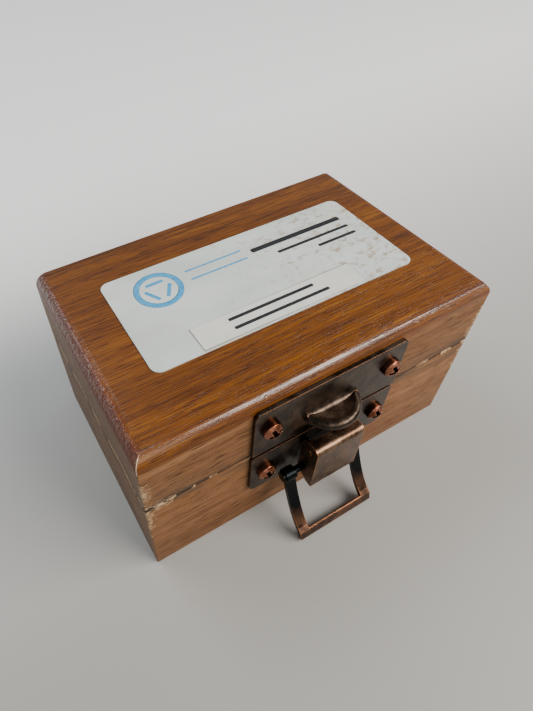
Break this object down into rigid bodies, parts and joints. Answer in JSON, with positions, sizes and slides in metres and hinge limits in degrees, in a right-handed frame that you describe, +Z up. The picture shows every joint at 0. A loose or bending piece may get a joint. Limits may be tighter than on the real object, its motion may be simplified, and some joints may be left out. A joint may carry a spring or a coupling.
{
  "type": "hinged wooden lens case with draw catch",
  "caption": "Small hinged hardwood case with a foam nest for a three-mirror contact lens, a label on the lid and a draw catch on the front.",
  "frame": {"origin": "centre of the wooden base's underside, where the case stands", "axes": "+X along the front with the latch, towards its right-hand end; the latch looks along -Y and the hinges are on the +Y side; +Z up"},
  "size_m": [0.09, 0.0741, 0.0484],
  "materials": {
    "wood": "oiled and waxed, worn at the edges",
    "label": "smooth stuck-on label, lightly stained",
    "clear_strip": "clear glossy strip",
    "dark_copper": "antique copper plate, almost black",
    "copper": "antique copper, rubbed on the high places",
    "lever_metal": "antique copper, worn grey",
    "bail_metal": "antique copper, blackened towards the pivot",
    "brass": "dulled brass",
    "foam": "charcoal foam",
    "black_anodised": "satin black anodised",
    "coated_glass": "anti-reflection coated",
    "optic": "clear optical acrylic",
    "mirror": "first-surface mirror"
  },
  "bodies": {
    "case": {"base_block": "wood", "catch_plate": "dark_copper", "catch_screws": "copper", "left_base_leaf": "brass", "right_base_leaf": "brass", "hinge_pins": "brass", "base_hinge_screws": "brass", "foam_nest": "foam", "lens_housing": "black_anodised", "grip_ring": "black_anodised", "window_ring": "black_anodised", "entry_window": "coated_glass", "lens_optic": "optic", "mirror_low": "mirror", "mirror_middle": "mirror", "mirror_high": "mirror", "contact_element": "optic"},
    "lid": {"lid_block": "wood", "label": "label", "label_strip": "clear_strip", "strike_plate": "dark_copper", "strike_screws": "copper", "left_lid_leaf": "brass", "right_lid_leaf": "brass", "lid_hinge_screws": "brass", "lid_pad": "foam"},
    "lever": {"lever": "lever_metal", "lever_pin": "copper", "bail_pin": "copper"},
    "bail": {"bail": "bail_metal"}
  },
  "joints": [
    {"name": "lid_hinge", "type": "hinge", "parent": "case", "child": "lid", "pos_m": [0, 0.03065, 0.02875], "axis": [-1, 0, 0], "range_deg": [0, 110]},
    {"name": "lever_pivot", "type": "hinge", "parent": "case", "child": "lever", "pos_m": [-0.0004, -0.03295, 0.0252], "axis": [-1, 0, 0], "range_deg": [0, 90]},
    {"name": "bail_pivot", "type": "hinge", "parent": "lever", "child": "bail", "pos_m": [-0.0014, -0.03195, 0.0172], "axis": [-1, 0, 0], "range_deg": [0, 85]}
  ]
}
